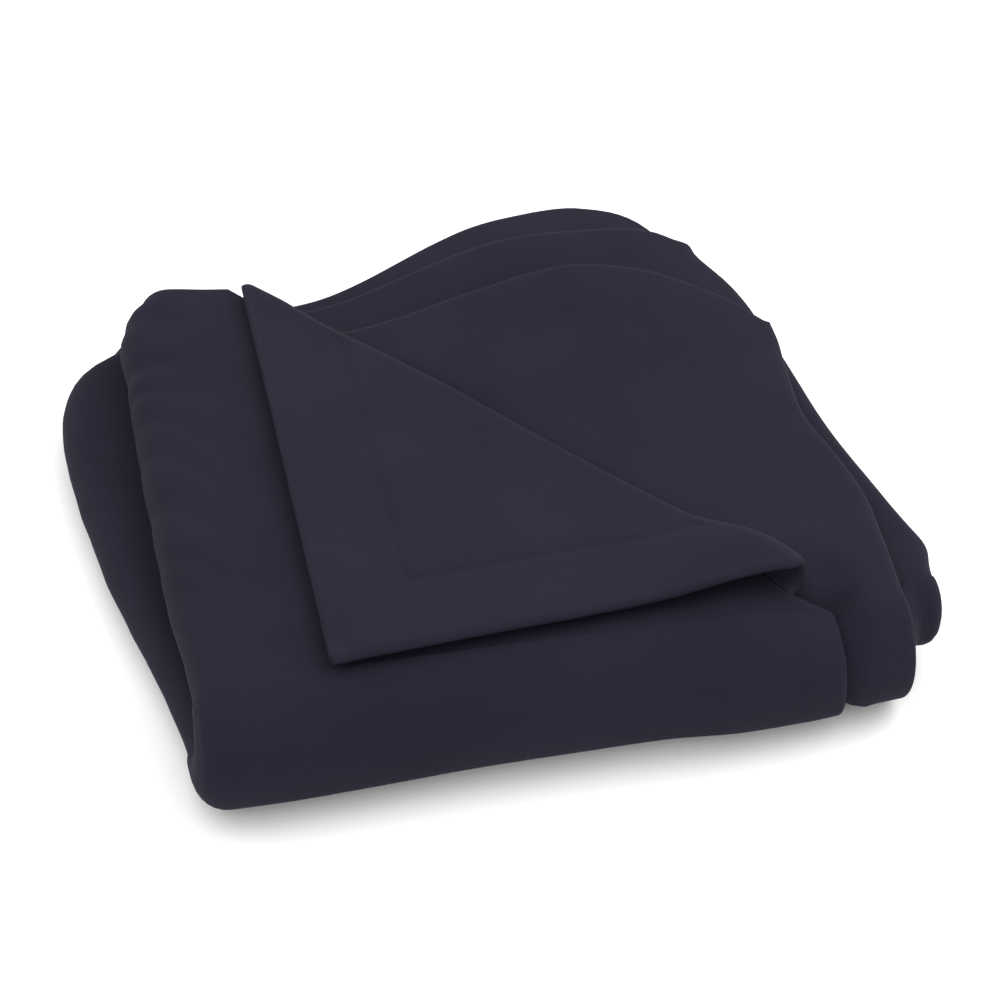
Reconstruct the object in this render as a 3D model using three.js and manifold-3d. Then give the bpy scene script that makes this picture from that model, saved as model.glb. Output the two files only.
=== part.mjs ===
// Infrared sauna blanket, folded for storage.
// The flat blanket is a sewn sandwich of cloth, wadding, foil and a heating layer. It is folded twice
// along its length, which gives four plies, and once across its width along the near edge, which gives
// eight. One corner of the top ply is turned over along a diagonal.
// Millimetres, +Z up. The working frame has the crosswise fold on Y = 0 and the floor on Z = 0.

import * as THREE from 'three';
import { mergeVertices } from 'three/addons/utils/BufferGeometryUtils.js';
import Module from 'manifold-3d';

const wasm = await Module();
wasm.setup();

// ---- Driving sizes: the sandwich ----
const COVER_T = 1.2; // woven outer cloth
const WADDING_T = 4.2; // insulating wadding
const FOIL_T = 0.6; // reflective foil film
const WIRE_T = 1.0; // carbon fibre heating wire, pressed flat by the quilting
const MAT_T = 1.1; // cloth that the wire is stitched to
const LINING_T = 1.2; // woven reverse cloth
const LAYER_GAP = 0.3; // clearance between layers
const PLY_GAP = 0.6; // clearance between folded plies
const HEM_W = 6; // width of the turned hem that closes an edge

// ---- Driving sizes: the folded pile ----
const TOP_HEM_X = 190; // end hem of plies 1 and 8
const SECOND_HEM_X = 236; // end hem of plies 2 and 7
const RIGHT_FOLD_FRONT_X = 272; // right fold of plies 3 and 4, at the near end
const RIGHT_FOLD_BACK_X = 246; // the same fold at the far end
const UPPER_LEFT_FRONT_X = -246; // left folds of the upper half
const UPPER_LEFT_BACK_X = -260;
const LOWER_LEFT_FRONT_X = -250; // left folds of the lower half, which slipped out at the back
const LOWER_LEFT_BACK_X = -302;
// Side hem's distance from the crosswise fold, at both ends of the cloth and at its three folds.
const SIDE_HEM_Y = { firstEnd: 435, outerFold: 436, rightFold: 482, innerFold: 392, secondEnd: 362 };

// ---- Driving sizes: the turned corner ----
const CORNER_TIP = new THREE.Vector2(-152, -6);
const FOLD_FRONT = new THREE.Vector2(165, 20); // near end of the diagonal fold
const FOLD_BACK_X = -162; // far end of the diagonal fold
const FOLD_BACK_FROM_HEM = 8; // how far its far end is from ply 1's side hem

// ---- Driving sizes: heating circuit ----
const WIRE_W = 3; // width of the flattened wire
const WIRE_RUN_GAP = 42; // distance between neighbouring runs
const WIRE_LEFT_X = -200; // ends of the runs
const WIRE_RIGHT_X = 150;
const WIRE_FIRST_Y = 24;
const BUS_W = 9; // ribbon of supply wires that feeds every zone
const BUS_INSET = 38; // from the side hem to the ribbon's middle
const EDGE_MARGIN = 55; // border without wire inside the corner's hems and fold
const FOLD_BACK_MARGIN = 126; // from the far end of the diagonal fold to the last run on the cut ply
const SENSOR = { length: 12, width: 6 }; // film thermistor
const FUSE = { diameter: 3.2, length: 13 }; // thermal cut-out
const POCKET_CLEARANCE = 0.4; // around the cut-out, in the wadding and foil

// ---- Driving sizes: power inlet ----
const INLET = { length: 28, width: 30, height: 9.6, radius: 3 };
const RECESS = { depth: 20, width: 22, height: 6.4 };
const PIN = { diameter: 2, length: 13, spacing: 15 };
const LEAD_W = 7;
const FIT = 0.3; // clearance between the inlet's pieces and what they touch

const HALF = 0.5; // from the middle of a ply, or of a unit box, to its surface
const ARC_STEPS = 8; // slices in a half turn of the folds
const RING_STEPS = 14; // slices in the half turn round the near edge
const HEM_CURVE_STEPS = 3; // facets of each curve of an end hem
const INLET_CORNER_STEPS = 4; // facets of each rounded corner of the inlet
const PLIES = 4; // in each half

// ---- The sandwich, from the outer cloth to the reverse cloth ----
// Each layer is a pair of offsets from the middle of the ply, positive towards the outer cloth.
const SANDWICH = [
  ['cover', COVER_T],
  ['wadding', WADDING_T],
  ['foil', FOIL_T],
  ['wire', WIRE_T],
  ['heating_mat', MAT_T],
  ['lining', LINING_T],
];
const PLY_T = SANDWICH.reduce((sum, [, t]) => sum + t, 0) + LAYER_GAP * (SANDWICH.length - 1);
const PITCH = PLY_T + PLY_GAP;
const MID_Z = PLIES * PITCH - PLY_GAP / 2; // plane between the two halves

const OFFSETS = {};
let surface = PLY_T * HALF;
for (const [name, thickness] of SANDWICH) {
  OFFSETS[name] = [surface - thickness, surface];
  surface -= thickness + LAYER_GAP;
}
OFFSETS.whole = [-PLY_T / 2, PLY_T / 2];
OFFSETS.padding = [OFFSETS.heating_mat[0], OFFSETS.wadding[1]];

// Height of ply 1 to 4 above the plane between the halves. Ply 0 is the turned corner.
const plyHeight = (ply) => (PLIES + HALF - ply) * PITCH;
// The outer cloth faces away from the middle plane on plies 1 and 3, and towards it on 2 and 4.
const coverOutward = (ply) => (ply % 2 === 1 ? 1 : -1);

// ---- Materials ----
const cloth = { color: 0x2b2c38, roughness: 0.88, metalness: 0 };
const FINISH = {
  cover: cloth,
  lining: { ...cloth, color: 0x2d2e3a },
  hem: { ...cloth, color: 0x292a35 },
  wadding: { color: 0xd9d6cc, roughness: 1, metalness: 0 },
  padding: { color: 0xd9d6cc, roughness: 1, metalness: 0 },
  foil: { color: 0xc8ccd2, roughness: 0.3, metalness: 1 },
  heating_mat: { color: 0x6f6a60, roughness: 0.9, metalness: 0 },
  wire: { color: 0x141416, roughness: 0.6, metalness: 0 },
  plastic: { color: 0x1b1b1e, roughness: 0.5, metalness: 0 },
  metal: { color: 0xc9b37a, roughness: 0.3, metalness: 1 },
};

const blanket = new THREE.Group();

function add(name, geometry, finish) {
  const mesh = new THREE.Mesh(geometry, new THREE.MeshStandardMaterial(FINISH[finish]));
  mesh.name = name;
  blanket.add(mesh);
}

// ---- Joining and cutting ----
function bare(geometry) {
  geometry.deleteAttribute('normal');
  geometry.deleteAttribute('uv');
  return mergeVertices(geometry, 1e-4);
}

function solidOf(geometry) {
  const merged = bare(geometry);
  return new wasm.Manifold(new wasm.Mesh({
    numProp: 3,
    vertProperties: Float32Array.from(merged.attributes.position.array),
    triVerts: Uint32Array.from(merged.index.array),
  }));
}

function geometryOf(solid) {
  const mesh = solid.getMesh();
  const geometry = new THREE.BufferGeometry();
  geometry.setAttribute('position', new THREE.BufferAttribute(mesh.vertProperties, 3));
  geometry.setIndex(new THREE.BufferAttribute(mesh.triVerts, 1));
  return geometry;
}

function cut(geometry, ...tools) {
  return geometryOf(tools.reduce((rest, tool) => rest.subtract(solidOf(tool)), solidOf(geometry)));
}

// ---- A layer that follows a folded path ----
// A station has a near and a far point on the middle of the ply, and the way its outer cloth faces.
// A box with one slice for each pair of stations is bent to pass through them.
function bentLayer(stations, [inner, outer]) {
  const slices = stations.length - 1;
  const geometry = new THREE.BoxGeometry(1, 1, 1, slices, 1, 1);
  const position = geometry.attributes.position;
  const point = new THREE.Vector3();
  for (let i = 0; i < position.count; i += 1) {
    const station = stations[Math.round((position.getX(i) + HALF) * slices)];
    const offset = position.getZ(i) > 0 ? outer : inner;
    point.copy(position.getY(i) > 0 ? station.far : station.near);
    point.addScaledVector(station.facing, offset);
    position.setXYZ(i, point.x, point.y, point.z);
  }
  return solidWay(bare(geometry));
}

// A bent box can come out inside out when its path runs the other way, so its faces are turned.
function solidWay(geometry) {
  const position = geometry.attributes.position;
  const index = geometry.index;
  const [a, b, c] = [new THREE.Vector3(), new THREE.Vector3(), new THREE.Vector3()];
  let volume = 0;
  for (let i = 0; i < index.count; i += 3) {
    a.fromBufferAttribute(position, index.getX(i));
    b.fromBufferAttribute(position, index.getX(i + 1));
    c.fromBufferAttribute(position, index.getX(i + 2));
    volume += a.dot(b.cross(c));
  }
  if (volume < 0) {
    for (let i = 0; i < index.count; i += 3) {
      const first = index.getX(i);
      index.setX(i, index.getX(i + 1));
      index.setX(i + 1, first);
    }
  }
  return geometry;
}

// ---- The path of one half, seen from the near edge ----
// It starts at the end hem of ply 1, turns under at the left, comes back as ply 4, turns up at the
// right as ply 3, turns up at the left inside the first fold, and ends as ply 2. The side hem is
// level round each fold, and slants along the flat plies between them.
function halfPath(leftX, rightX) {
  const outerRadius = (PITCH * (PLIES - 1)) / 2;
  const innerRadius = PITCH / 2;
  const leftCentre = leftX + outerRadius + PLY_T / 2;
  const rightCentre = rightX - innerRadius - PLY_T / 2;
  const path = [];
  const flat = (x, ply, hem) => path.push({
    x, height: plyHeight(ply), nx: 0, nz: coverOutward(ply), flatPly: ply, hem,
  });
  const arc = (centreX, ply, next, side, hem) => {
    const radius = Math.abs(plyHeight(ply) - plyHeight(next)) / 2;
    const middle = (plyHeight(ply) + plyHeight(next)) / 2;
    const start = Math.sign(plyHeight(ply) - middle);
    for (let i = 1; i < ARC_STEPS; i += 1) {
      const angle = (Math.PI * i) / ARC_STEPS;
      const nx = side * Math.sin(angle);
      const nz = start * Math.cos(angle);
      const facing = start * coverOutward(ply);
      path.push({
        x: centreX + radius * nx,
        height: middle + radius * nz,
        nx: nx * facing,
        nz: nz * facing,
        hem,
      });
    }
  };
  const { firstEnd, outerFold, rightFold, innerFold, secondEnd } = SIDE_HEM_Y;
  flat(TOP_HEM_X - HEM_W, 1, firstEnd);
  flat(leftCentre, 1, outerFold);
  arc(leftCentre, 1, 4, -1, outerFold);
  flat(leftCentre, 4, outerFold);
  flat(rightCentre, 4, rightFold);
  arc(rightCentre, 4, 3, 1, rightFold);
  flat(rightCentre, 3, rightFold);
  flat(leftCentre, 3, innerFold);
  arc(leftCentre, 3, 2, -1, innerFold);
  flat(leftCentre, 2, innerFold);
  flat(SECOND_HEM_X - HEM_W, 2, secondEnd);
  return path;
}

const leftCentreOf = (leftX) => leftX + (PITCH * (PLIES - 1)) / 2 + PLY_T / 2;
const rightCentreOf = (rightX) => rightX - PITCH / 2 - PLY_T / 2;

const HALVES = {
  upper: { up: 1, leftFront: UPPER_LEFT_FRONT_X, leftBack: UPPER_LEFT_BACK_X },
  lower: { up: -1, leftFront: LOWER_LEFT_FRONT_X, leftBack: LOWER_LEFT_BACK_X },
};

// Stations of one half between two lines that run beside the side hem or the crosswise fold.
function stationsOf(half, nearY, farY) {
  const front = halfPath(half.leftFront, RIGHT_FOLD_FRONT_X);
  const back = halfPath(half.leftBack, RIGHT_FOLD_BACK_X);
  const longest = Math.max(...Object.values(SIDE_HEM_Y));
  return front.map((at, i) => {
    const place = (y) => new THREE.Vector3(
      THREE.MathUtils.lerp(at.x, back[i].x, y / longest),
      y,
      MID_Z + half.up * at.height,
    );
    return {
      near: place(nearY(at.hem)),
      far: place(farY(at.hem)),
      facing: new THREE.Vector3(at.nx, 0, half.up * at.nz),
      flatPly: at.flatPly,
    };
  });
}

// How far back the near edge of a strip lies on one flat ply, at a given X.
function nearEdgeAt(stations, ply, x) {
  const [a, b] = stations.filter((station) => station.flatPly === ply).map((station) => station.near);
  return THREE.MathUtils.lerp(a.y, b.y, (x - a.x) / (b.x - a.x));
}

// ---- The diagonal fold ----
const FOLD_BACK = new THREE.Vector2(FOLD_BACK_X, SIDE_HEM_Y.outerFold - FOLD_BACK_FROM_HEM);
const diagonal = FOLD_BACK.clone().sub(FOLD_FRONT).normalize();
const awayFromTip = new THREE.Vector2(diagonal.y, -diagonal.x);
const onDiagonal = (along, across) => FOLD_FRONT.clone()
  .addScaledVector(diagonal, along)
  .addScaledVector(awayFromTip, across);
const diagonalXAt = (y) => FOLD_FRONT.x + ((y - FOLD_FRONT.y) / diagonal.y) * diagonal.x;

// A flat slab with an outline in the floor plane.
function slab(outline, lowZ, highZ) {
  const geometry = new THREE.ExtrudeGeometry(new THREE.Shape(outline), {
    depth: highZ - lowZ, bevelEnabled: false, curveSegments: ARC_STEPS,
  });
  return geometry.translate(0, 0, lowZ);
}

// What the turned corner leaves open on ply 1.
const REACH = 900;
function cornerTool() {
  const level = MID_Z + plyHeight(1);
  const outline = [
    onDiagonal(-REACH, FIT / 2),
    onDiagonal(-REACH, REACH),
    onDiagonal(REACH, REACH),
    onDiagonal(REACH, FIT / 2),
  ];
  return slab(outline, level - PLY_T / 2 - PLY_GAP / 2, level + PITCH);
}

// ---- The two halves ----
const nearEdge = () => FIT;
const cutAtCorner = (name, geometry) => (name === 'upper' ? cut(geometry, cornerTool()) : geometry);

const zOf = (half, ply, offset) => MID_Z + half.up * (plyHeight(ply) + coverOutward(ply) * offset);
const zRange = (half, ply, [a, b]) => [zOf(half, ply, a), zOf(half, ply, b)].sort((p, q) => p - q);
const busStationsOf = (half) => stationsOf(
  half,
  (hem) => hem - BUS_INSET - BUS_W / 2,
  (hem) => hem - BUS_INSET + BUS_W / 2,
);

// The thermal cut-out and the film thermistor lie on ply 2, close in front of the supply ribbon.
const FUSE_X = WIRE_LEFT_X + WIRE_RUN_GAP;
const SENSOR_X = FUSE_X + FUSE.length + SENSOR.length;
const besideBus = (half, x, size) => nearEdgeAt(busStationsOf(half), 2, x) - FIT - FUSE.diameter - size / 2;

function fusePocket(half) {
  const w = FUSE.length / 2 + POCKET_CLEARANCE;
  const d = FUSE.diameter / 2 + POCKET_CLEARANCE;
  const [x, y] = [FUSE_X, besideBus(half, FUSE_X, FUSE.diameter)];
  const outline = [[-w, -d], [w, -d], [w, d], [-w, d]].map(([a, b]) => new THREE.Vector2(x + a, y + b));
  const [low, high] = zRange(half, 2, [
    OFFSETS.foil[0] - LAYER_GAP,
    OFFSETS.wire[0] + FUSE.diameter + POCKET_CLEARANCE,
  ]);
  return slab(outline, low, high);
}

for (const [name, half] of Object.entries(HALVES)) {
  for (const layer of ['cover', 'wadding', 'foil', 'heating_mat', 'lining']) {
    const stations = stationsOf(half, nearEdge, (hem) => hem - HEM_W);
    let geometry = cutAtCorner(name, bentLayer(stations, OFFSETS[layer]));
    if (layer === 'wadding' || layer === 'foil') {
      geometry = cut(geometry, fusePocket(half));
    }
    add(`${name}_${layer}`, geometry, layer);
  }
  const hemStations = stationsOf(half, (hem) => hem - HEM_W + FIT, (hem) => hem);
  add(`${name}_side_hem`, cutAtCorner(name, bentLayer(hemStations, OFFSETS.whole)), 'hem');

  const bus = bentLayer(busStationsOf(half), OFFSETS.wire);
  add(`${name}_supply_ribbon`, cutAtCorner(name, bus), 'wire');
}

// ---- End hems: a rolled strip along the end of the cloth ----
function endHem(half, ply, x, farY) {
  const [low, high] = zRange(half, ply, OFFSETS.whole);
  const flat = PLY_T / 2;
  const shape = new THREE.Shape();
  shape.moveTo(x - HEM_W + FIT, low);
  shape.lineTo(x - flat / 2, low);
  shape.quadraticCurveTo(x, low, x, (low + high) / 2);
  shape.quadraticCurveTo(x, high, x - flat / 2, high);
  shape.lineTo(x - HEM_W + FIT, high);
  const geometry = new THREE.ExtrudeGeometry(shape, {
    depth: farY - FIT, bevelEnabled: false, curveSegments: HEM_CURVE_STEPS,
  });
  geometry.rotateX(Math.PI / 2);
  geometry.translate(0, farY, 0);
  return geometry;
}

for (const [name, half] of Object.entries(HALVES)) {
  add(`${name}_second_end_hem`, endHem(half, 2, SECOND_HEM_X, SIDE_HEM_Y.secondEnd), 'hem');
}

// ---- Heating wire: one zigzag zone on each flat ply ----
function ribbon(points, width) {
  const left = [];
  const right = [];
  points.forEach((p, i) => {
    const before = (points[i - 1] ?? p).clone();
    const after = (points[i + 1] ?? p).clone();
    const inward = p.clone().sub(before).normalize();
    const outward = after.sub(p).normalize();
    const normals = [inward, outward].filter((d) => d.length() > 0).map((d) => new THREE.Vector2(-d.y, d.x));
    const miter = normals.reduce((sum, n) => sum.add(n), new THREE.Vector2()).normalize();
    const reach = width / 2 / Math.max(miter.dot(normals[0]), HALF);
    left.push(p.clone().addScaledVector(miter, reach));
    right.unshift(p.clone().addScaledVector(miter, -reach));
  });
  return [...left, ...right];
}

function zigzag(fromX, toX, fromY, toY) {
  const runs = Math.max(2, 2 * Math.floor((toY - fromY) / WIRE_RUN_GAP / 2) + 1);
  const points = [];
  for (let run = 0; run < runs; run += 1) {
    const y = fromY + ((toY - fromY) * run) / (runs - 1);
    const ends = [new THREE.Vector2(toX(y), y), new THREE.Vector2(fromX, y)];
    points.push(...(run % 2 === 0 ? ends : ends.reverse()));
  }
  return points;
}

for (const [name, half] of Object.entries(HALVES)) {
  const bus = busStationsOf(half);
  for (let ply = 1; ply <= PLIES; ply += 1) {
    const cutShort = name === 'upper' && ply === 1;
    const rightEnd = (y) => (
      cutShort ? Math.min(WIRE_RIGHT_X, diagonalXAt(y) - EDGE_MARGIN / 2) : WIRE_RIGHT_X
    );
    const [leftY, rightY] = [WIRE_LEFT_X, WIRE_RIGHT_X].map((x) => nearEdgeAt(bus, ply, x));
    const lastRunY = cutShort ? FOLD_BACK.y - FOLD_BACK_MARGIN : Math.min(leftY, rightY) - WIRE_RUN_GAP;
    const points = zigzag(WIRE_LEFT_X, rightEnd, WIRE_FIRST_Y, lastRunY);
    points.push(new THREE.Vector2(WIRE_LEFT_X, leftY - FIT));
    const wire = slab(ribbon(points, WIRE_W), ...zRange(half, ply, OFFSETS.wire));
    add(`${name}_heating_wire_${ply}`, wire, 'wire');
  }

  const [low, high] = zRange(half, 2, OFFSETS.wire);
  const sensor = new THREE.BoxGeometry(SENSOR.length, SENSOR.width, high - low);
  sensor.translate(SENSOR_X, besideBus(half, SENSOR_X, SENSOR.width), (low + high) / 2);
  add(`${name}_temperature_sensor`, sensor, 'metal');

  const fuse = new THREE.CylinderGeometry(FUSE.diameter / 2, FUSE.diameter / 2, FUSE.length, ARC_STEPS * 2);
  fuse.rotateZ(Math.PI / 2);
  const fuseZ = zOf(half, 2, OFFSETS.wire[0] + FUSE.diameter / 2);
  fuse.translate(FUSE_X, besideBus(half, FUSE_X, FUSE.diameter), fuseZ);
  add(`${name}_thermal_cutout`, fuse, 'metal');
}

// ---- Crosswise fold: every ply turns down round the near edge ----
function frontStations(ply, leftX, rightX) {
  const radius = plyHeight(ply);
  const stations = [];
  for (let i = 0; i <= RING_STEPS; i += 1) {
    const angle = Math.PI / 2 + (Math.PI * i) / RING_STEPS;
    const facing = new THREE.Vector3(0, Math.cos(angle), Math.sin(angle));
    const middle = new THREE.Vector3(0, 0, MID_Z).addScaledVector(facing, radius);
    stations.push({
      near: middle.clone().setX(leftX),
      far: middle.clone().setX(rightX),
      facing: facing.multiplyScalar(coverOutward(ply)),
    });
  }
  return stations;
}

const frontLeft = leftCentreOf(Math.max(UPPER_LEFT_FRONT_X, LOWER_LEFT_FRONT_X));
const frontRight = [
  TOP_HEM_X, SECOND_HEM_X, rightCentreOf(RIGHT_FOLD_FRONT_X), rightCentreOf(RIGHT_FOLD_FRONT_X),
];
for (let ply = 1; ply <= PLIES; ply += 1) {
  const stations = frontStations(ply, frontLeft, frontRight[ply - 1]);
  for (const layer of ['cover', 'padding', 'lining']) {
    add(`front_fold_${layer}_${ply}`, bentLayer(stations, OFFSETS[layer]), layer);
  }
}

// ---- The turned corner: its reverse cloth is on top ----
const cornerZ = ([a, b]) => [-b, -a].map((offset) => MID_Z + plyHeight(0) + offset);

// Outline of the corner, drawn in from its two hems and from the diagonal fold.
function cornerOutline(hemInset, foldInset) {
  const tip = CORNER_TIP;
  const towardFront = FOLD_FRONT.clone().sub(tip).normalize();
  const towardBack = FOLD_BACK.clone().sub(tip).normalize();
  const sine = towardFront.cross(towardBack);
  const newTip = tip.clone()
    .addScaledVector(towardFront, hemInset / sine)
    .addScaledVector(towardBack, hemInset / sine);
  const reachFold = (direction) => {
    const distance = FOLD_FRONT.clone().sub(newTip).dot(awayFromTip) - foldInset;
    return newTip.clone().addScaledVector(direction, distance / direction.dot(awayFromTip));
  };
  return [newTip, reachFold(towardFront), reachFold(towardBack)];
}

for (const layer of ['cover', 'wadding', 'foil', 'heating_mat', 'lining']) {
  add(`corner_${layer}`, slab(cornerOutline(HEM_W, FIT / 2), ...cornerZ(OFFSETS[layer])), layer);
}

const [hemTip, hemFront, hemBack] = cornerOutline(0, FIT / 2);
const [innerTip, innerFront, innerBack] = cornerOutline(HEM_W - FIT, FIT / 2);
const hemOutline = [hemTip, hemFront, innerFront, innerTip, innerBack, hemBack];
add('corner_hem', slab(hemOutline, ...cornerZ(OFFSETS.whole)), 'hem');

const [wireTip, wireFront, wireBack] = cornerOutline(EDGE_MARGIN, EDGE_MARGIN / 2);
const cornerWire = ribbon([wireFront, wireTip, wireBack], WIRE_W);
add('corner_heating_wire', slab(cornerWire, ...cornerZ(OFFSETS.wire)), 'wire');

// The cloth that turns over the diagonal, from ply 1 up to the corner.
const [, foldStart, foldEnd] = cornerOutline(0, 0);
const foldStations = [];
for (let i = 0; i <= ARC_STEPS; i += 1) {
  const angle = (Math.PI * i) / ARC_STEPS - Math.PI / 2;
  const across = Math.cos(angle);
  const out = new THREE.Vector3(awayFromTip.x * across, awayFromTip.y * across, Math.sin(angle));
  const axisZ = MID_Z + (plyHeight(0) + plyHeight(1)) / 2;
  const clear = awayFromTip.clone().multiplyScalar(FIT);
  const at = (p) => new THREE.Vector3(p.x + clear.x, p.y + clear.y, axisZ).addScaledVector(out, PITCH / 2);
  foldStations.push({ near: at(foldStart), far: at(foldEnd), facing: out.clone().negate() });
}
for (const layer of ['cover', 'padding', 'lining']) {
  add(`corner_fold_${layer}`, bentLayer(foldStations, OFFSETS[layer]), layer);
}

// ---- Power inlet, sewn into the end hem of the bottom ply ----
const inletY = nearEdgeAt(busStationsOf(HALVES.lower), 1, TOP_HEM_X - HEM_W) + BUS_W / 2;
const inletZ = MID_Z - plyHeight(1);
const [leadLow, leadHigh] = zRange(HALVES.lower, 1, OFFSETS.wire);
const boxAt = (x0, x1, y, width, z0, z1) => new THREE.BoxGeometry(x1 - x0, width, z1 - z0)
  .translate((x0 + x1) / 2, y, (z0 + z1) / 2);

const leadSlot = boxAt(
  TOP_HEM_X - HEM_W - 1, TOP_HEM_X + 1, inletY, LEAD_W + 2 * FIT, leadLow - FIT, leadHigh + FIT,
);
const firstEndHem = endHem(HALVES.lower, 1, TOP_HEM_X, SIDE_HEM_Y.firstEnd);
add('lower_first_end_hem', cut(firstEndHem, leadSlot), 'hem');
add('inlet_lead', boxAt(TOP_HEM_X - HEM_W + FIT, TOP_HEM_X, inletY, LEAD_W, leadLow, leadHigh), 'wire');

const inletX = TOP_HEM_X + FIT;
function roundedBar(width, height, radius, length) {
  const [w, h] = [width / 2, height / 2];
  const shape = new THREE.Shape();
  shape.moveTo(-w + radius, -h);
  shape.lineTo(w - radius, -h);
  shape.absarc(w - radius, -h + radius, radius, -Math.PI / 2, 0);
  shape.absarc(w - radius, h - radius, radius, 0, Math.PI / 2);
  shape.absarc(-w + radius, h - radius, radius, Math.PI / 2, Math.PI);
  shape.absarc(-w + radius, -h + radius, radius, Math.PI, Math.PI * 1.5);
  const bar = new THREE.ExtrudeGeometry(shape, {
    depth: length, bevelEnabled: false, curveSegments: INLET_CORNER_STEPS,
  });
  return bar.rotateX(Math.PI / 2).rotateZ(Math.PI / 2);
}
const housing = roundedBar(INLET.width, INLET.height, INLET.radius, INLET.length)
  .translate(inletX, inletY, inletZ);
const recess = boxAt(
  inletX + INLET.length - RECESS.depth, inletX + INLET.length + 1, inletY, RECESS.width,
  inletZ - RECESS.height / 2, inletZ + RECESS.height / 2,
);
add('inlet_housing', cut(housing, recess), 'plastic');

[-1, 1].forEach((side, i) => {
  const pin = new THREE.CylinderGeometry(PIN.diameter / 2, PIN.diameter / 2, PIN.length, ARC_STEPS * 2);
  pin.rotateZ(Math.PI / 2);
  const x = inletX + INLET.length - RECESS.depth + FIT + PIN.length / 2;
  add(`inlet_pin_${i + 1}`, pin.translate(x, inletY + (side * PIN.spacing) / 2, inletZ), 'metal');
});

// ---- Origin at the middle of the footprint, on the floor ----
const extent = new THREE.Box3().setFromObject(blanket);
const centre = extent.getCenter(new THREE.Vector3());
blanket.position.set(-centre.x, -centre.y, -extent.min.z);

export default blanket;
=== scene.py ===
import math

import bmesh
import bpy
import numpy as np
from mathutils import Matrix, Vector, noise


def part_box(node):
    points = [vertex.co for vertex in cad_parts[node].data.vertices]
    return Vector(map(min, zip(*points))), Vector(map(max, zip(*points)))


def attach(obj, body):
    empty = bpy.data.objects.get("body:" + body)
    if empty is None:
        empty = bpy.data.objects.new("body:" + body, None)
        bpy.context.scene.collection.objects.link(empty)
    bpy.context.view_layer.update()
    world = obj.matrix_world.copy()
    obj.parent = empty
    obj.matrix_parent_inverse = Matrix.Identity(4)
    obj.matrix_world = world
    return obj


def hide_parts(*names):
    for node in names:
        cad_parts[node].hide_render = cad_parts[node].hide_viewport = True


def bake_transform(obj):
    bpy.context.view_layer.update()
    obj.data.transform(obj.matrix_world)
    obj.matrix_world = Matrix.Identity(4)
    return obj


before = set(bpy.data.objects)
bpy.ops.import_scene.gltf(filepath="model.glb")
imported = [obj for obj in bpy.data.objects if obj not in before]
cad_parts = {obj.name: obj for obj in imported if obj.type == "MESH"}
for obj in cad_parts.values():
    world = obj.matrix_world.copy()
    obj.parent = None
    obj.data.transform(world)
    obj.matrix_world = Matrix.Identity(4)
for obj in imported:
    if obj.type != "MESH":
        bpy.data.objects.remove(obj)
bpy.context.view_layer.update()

# ---- Camera ----
# A long lens from a standing height, turned a little to the left of the folded blanket's near edge.
TARGET = Vector((0.0125, -0.0144, 0.04))
AZIMUTH, ELEVATION, DISTANCE = math.radians(-11), math.radians(40), 1.7625
camera_data = bpy.data.cameras.new("camera")
camera_data.lens = 86.4
camera = bpy.data.objects.new("camera", camera_data)
bpy.context.scene.collection.objects.link(camera)
toward_camera = Vector((
    math.sin(AZIMUTH) * math.cos(ELEVATION), -math.cos(AZIMUTH) * math.cos(ELEVATION), math.sin(ELEVATION),
))
camera.location = TARGET + toward_camera * DISTANCE
camera.rotation_euler = toward_camera.to_track_quat("Z", "Y").to_euler()
bpy.context.scene.camera = camera

# ---- Floor and light ----
# A white studio sweep: a matt white floor, one large soft lamp high at the right, and an even white
# room, so that the shade falls towards the left.
bpy.context.scene.view_settings.view_transform = "Standard"


def linear(hex_colour):
    """An sRGB hex colour as the linear RGBA that a shader socket takes."""
    parts = [int(hex_colour[i:i + 2], 16) / 255 for i in (1, 3, 5)]
    return [c / 12.92 if c <= 0.04045 else ((c + 0.055) / 1.055) ** 2.4 for c in parts] + [1]


def add_node(tree, kind, inputs=(), **settings):
    """Adds a node, sets its properties, and fills its inputs with values or links them to sockets."""
    made = tree.nodes.new(kind)
    for name, value in settings.items():
        setattr(made, name, value)
    for name, value in dict(inputs).items():
        if isinstance(value, bpy.types.NodeSocket):
            tree.links.new(value, made.inputs[name])
        else:
            made.inputs[name].default_value = value
    return made


def new_material(name):
    """An empty node material, with its tree and its Principled shader."""
    material = bpy.data.materials.new(name)
    material.use_nodes = True
    return material, material.node_tree, material.node_tree.nodes["Principled BSDF"]


floor_paint, tree, shader = new_material("matt_white_floor")
shader.inputs["Base Color"].default_value = linear("#f7f7f7")
shader.inputs["Roughness"].default_value = 0.9
bpy.ops.mesh.primitive_plane_add(size=14, location=(0, 0, 0))
floor = bpy.context.object
floor.name = "floor"
floor.data.materials.append(floor_paint)

world = bpy.data.worlds.new("white_room")
bpy.context.scene.world = world
world.use_nodes = True
world.node_tree.nodes["Background"].inputs["Color"].default_value = linear("#ffffff")
world.node_tree.nodes["Background"].inputs["Strength"].default_value = 1.45


def add_lamp(name, location, size, power):
    """A square soft box that faces the blanket."""
    data = bpy.data.lights.new(name, "AREA")
    data.size, data.energy = size, power
    lamp = bpy.data.objects.new(name, data)
    lamp.location = location
    lamp.rotation_euler = (lamp.location - TARGET).to_track_quat("Z", "Y").to_euler()
    bpy.context.scene.collection.objects.link(lamp)


add_lamp("soft_box_right", Vector((1.9, 0.3, 2.3)), 2.4, 34)
add_lamp("soft_box_top", Vector((0.1, 0.1, 3.0)), 3.0, 8)

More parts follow.
